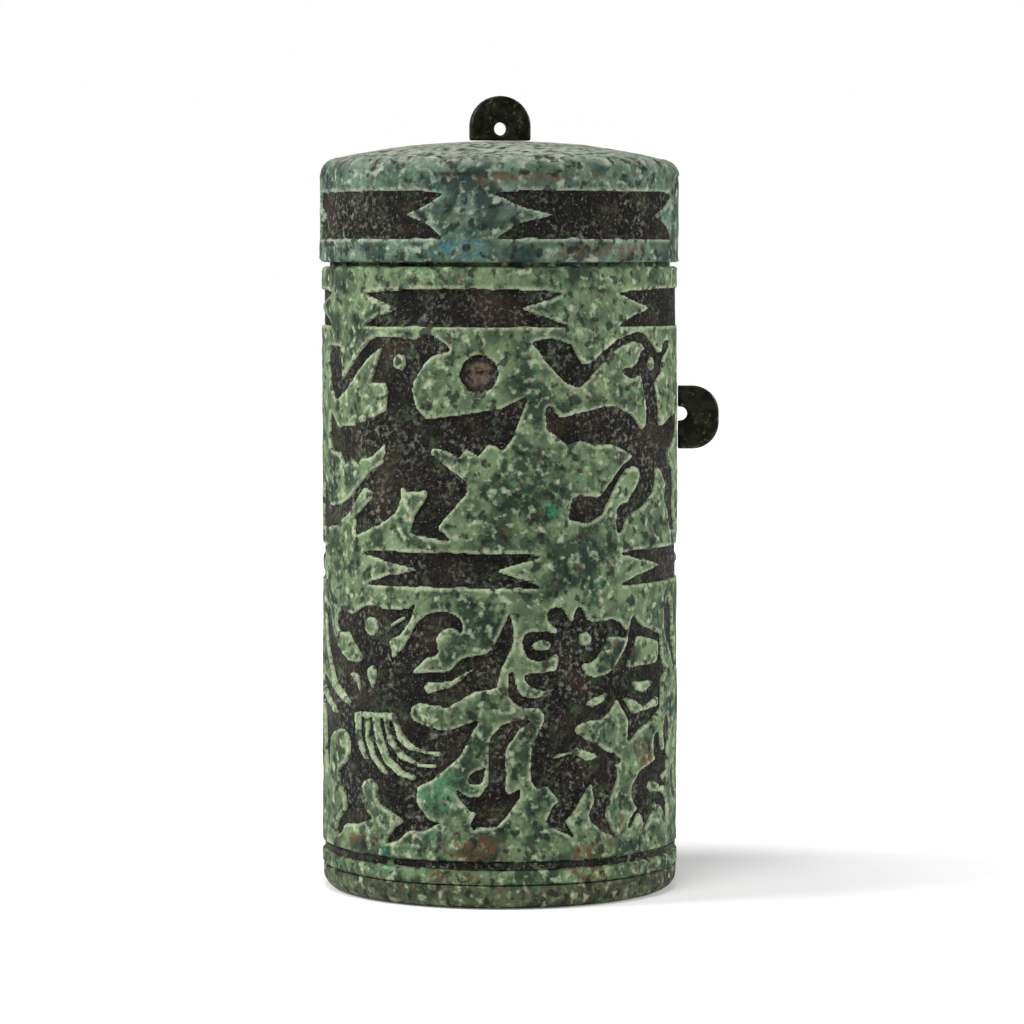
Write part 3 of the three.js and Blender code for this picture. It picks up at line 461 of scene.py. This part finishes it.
# Ears: two pierced bronze ears for the tie cord, worn by handling. The skin is a thin,
# very dark green-brown oxide, half metallic and smoother than the crust, with softened
# edges, so the pieces of the frame are rounded here in place.
EAR_VOXEL = 0.25
ear_material = bpy.data.materials.new("dark_bronze")
ear_material.use_nodes = True
tree = ear_material.node_tree
colour = coat(tree, linear("#12130d"), "#2c2e22", 1, grain(tree, 2.5, 0.42, 0.62))
colour = coat(tree, colour, "#5d6646", 0.7, grain(tree, 1.4, 0.58, 0.68, shift=3))
shader = tree.nodes["Principled BSDF"]
tree.links.new(colour, shader.inputs["Base Color"])
shader.inputs["Metallic"].default_value = 0.35
shader.inputs["Specular IOR Level"].default_value = 0.2
shader.inputs["Roughness"].default_value = 0.38
bump = add(tree, "ShaderNodeBump", {"Height": grain(tree, 0.9, 0, 1),
                                    "Strength": 0.5, "Distance": 0.2 * MM})
tree.links.new(bump.outputs["Normal"], shader.inputs["Normal"])
for name in ("body_lug", "lid_lug"):
    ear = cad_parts[name]
    ear.data.materials.clear()
    ear.data.materials.append(ear_material)
    fine = ear.modifiers.new("fine", "REMESH")
    fine.mode = "VOXEL"
    fine.voxel_size = EAR_VOXEL * MM
    fine.use_smooth_shade = True
    soft = ear.modifiers.new("soft", "SMOOTH")
    soft.factor = 0.7
    soft.iterations = 8

# Floor: white paper under the box. It keeps the shadow near the box, and away from the box
# a glow that only the camera sees fades it into the white background.
FLOOR_HALF = 3
FADE_FROM = 0.08
FADE_TO = 0.4
floor_mesh = bpy.data.meshes.new("floor")
floor_mesh.from_pydata([(-FLOOR_HALF, -FLOOR_HALF, 0), (FLOOR_HALF, -FLOOR_HALF, 0),
                        (FLOOR_HALF, FLOOR_HALF, 0), (-FLOOR_HALF, FLOOR_HALF, 0)],
                       [], [(0, 1, 2, 3)])
floor = bpy.data.objects.new("floor", floor_mesh)
bpy.context.collection.objects.link(floor)
floor_material = bpy.data.materials.new("white_floor")
floor_material.use_nodes = True
tree = floor_material.node_tree
shader = tree.nodes["Principled BSDF"]
shader.inputs["Base Color"].default_value = (0.93, 0.93, 0.93, 1)
shader.inputs["Roughness"].default_value = 0.9
shader.inputs["Specular IOR Level"].default_value = 0.0
seen = add(tree, "ShaderNodeLightPath").outputs["Is Camera Ray"]
place = add(tree, "ShaderNodeTexCoord").outputs["Object"]
far = add(tree, "ShaderNodeVectorMath", {0: place}, operation="LENGTH").outputs["Value"]
lift = add(tree, "ShaderNodeMapRange", {"Value": far, "From Min": FADE_FROM,
                                        "From Max": FADE_TO, "To Min": 0.12,
                                        "To Max": 1.0}).outputs[0]
lift = add(tree, "ShaderNodeMath", {0: lift, 1: seen}, operation="MULTIPLY").outputs[0]
glow = add(tree, "ShaderNodeEmission", {"Strength": lift})
both = add(tree, "ShaderNodeAddShader", {0: shader.outputs[0], 1: glow.outputs[0]})
tree.links.new(both.outputs[0], tree.nodes["Material Output"].inputs["Surface"])
floor_mesh.materials.append(floor_material)

# Surround: pure white to the camera, and a weak white glow on the object
world = bpy.data.worlds.new("studio")
bpy.context.scene.world = world
world.use_nodes = True
tree = world.node_tree
seen = add(tree, "ShaderNodeLightPath").outputs["Is Camera Ray"]
glow = tree.nodes["Background"]
glow.inputs["Color"].default_value = (1, 1, 1, 1)
glow.inputs["Strength"].default_value = 0.13
white = add(tree, "ShaderNodeBackground", {"Color": (1, 1, 1, 1), "Strength": 1.0})
pick = add(tree, "ShaderNodeMixShader", {0: seen, 1: glow.outputs[0], 2: white.outputs[0]})
tree.links.new(pick.outputs[0], tree.nodes["World Output"].inputs["Surface"])


# Lamps: a soft key from the left, a weaker one from the right, and a small one above, so
# that the sides are brighter than the front. Places in metres, power in watts.
def soft_light(name, where, size, power, target=(0, 0, 0.1)):
    light = bpy.data.lights.new(name, "AREA")
    light.shape = "DISK"
    light.size = size
    light.energy = power
    made = bpy.data.objects.new(name, light)
    made.location = where
    way = [t - w for t, w in zip(target, where)]
    flat = math.hypot(way[0], way[1])
    made.rotation_euler = (math.atan2(flat, -way[2]), 0, math.atan2(way[1], way[0]) - math.pi / 2)
    bpy.context.collection.objects.link(made)


soft_light("key", (-1.0, -0.22, 0.75), 0.6, 15)
soft_light("right", (1.0, -0.12, 0.45), 0.6, 8)
soft_light("top", (-0.1, -0.4, 1.2), 0.4, 6)

# Camera: a long lens at about the height of the lid's seam, tilted down a little
CAMERA_SIDE = 0.003
CAMERA_DISTANCE = 1.037
CAMERA_HEIGHT = 0.157
CAMERA_TILT = 3.5
camera = bpy.data.objects.new("camera", bpy.data.cameras.new("camera"))
camera.location = (CAMERA_SIDE, -CAMERA_DISTANCE, CAMERA_HEIGHT)
camera.rotation_euler = (math.radians(90 - CAMERA_TILT), 0, 0)
camera.data.lens = 145.9
camera.data.clip_start = 0.01
bpy.context.collection.objects.link(camera)
bpy.context.scene.camera = camera
bpy.context.scene.view_settings.view_transform = "Standard"
